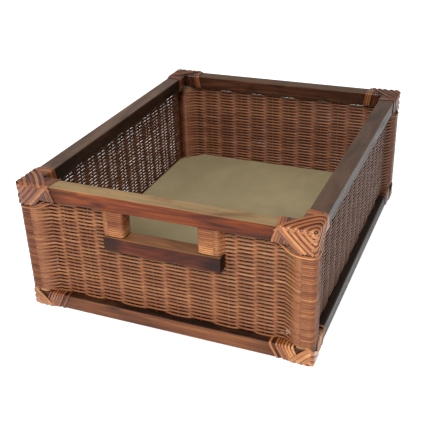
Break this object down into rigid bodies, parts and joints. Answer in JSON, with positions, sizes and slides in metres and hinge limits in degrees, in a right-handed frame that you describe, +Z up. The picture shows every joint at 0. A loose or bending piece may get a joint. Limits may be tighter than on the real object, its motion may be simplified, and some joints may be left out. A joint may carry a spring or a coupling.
{
  "type": "wicker pet bed basket",
  "caption": "Low rectangular woven pet bed with a stained wooden rail frame, cane-bound corners, a hand hole in the front wall and a fixed floor board.",
  "frame": {"origin": "on the ground under the middle of the basket", "axes": "+Z up, -Y towards the front wall with the hand hole, +X to the right as seen from the front"},
  "size_m": [0.487, 0.603, 0.232],
  "materials": {
    "stained_wood": "satin, dark brown stain",
    "bare_wood": "sawn",
    "weaver": "stained round rattan core",
    "stake": "stained rattan",
    "cane_strip": "glossy rattan peel",
    "fibreboard": "matt",
    "nail_steel": "plain"
  },
  "bodies": {
    "root": {"bottom_binding_back_left": "cane_strip", "bottom_binding_back_right": "cane_strip", "bottom_binding_front_left": "cane_strip", "bottom_binding_front_right": "cane_strip", "bottom_rail_back": "stained_wood", "bottom_rail_front": "stained_wood", "bottom_rail_left": "stained_wood", "bottom_rail_right": "stained_wood", "corner_post_back_left": "bare_wood", "corner_post_back_right": "bare_wood", "corner_post_front_left": "bare_wood", "corner_post_front_right": "bare_wood", "corner_wrap_back_left": "weaver", "corner_wrap_back_right": "weaver", "corner_wrap_front_left": "weaver", "corner_wrap_front_right": "weaver", "floor_board": "fibreboard", "frame_nails": "nail_steel", "handle_rail": "stained_wood", "handle_upright_left": "bare_wood", "handle_upright_right": "bare_wood", "handle_wrap_left": "weaver", "handle_wrap_right": "weaver", "stakes_back": "stake", "stakes_front": "stake", "stakes_left": "stake", "stakes_right": "stake", "top_binding_back_left": "cane_strip", "top_binding_back_right": "cane_strip", "top_binding_front_left": "cane_strip", "top_binding_front_right": "cane_strip", "top_rail_back": "stained_wood", "top_rail_front": "stained_wood", "top_rail_left": "stained_wood", "top_rail_right": "stained_wood", "woven_panel_back": "weaver", "woven_panel_front": "weaver", "woven_panel_left": "weaver", "woven_panel_right": "weaver"}
  },
  "joints": []
}
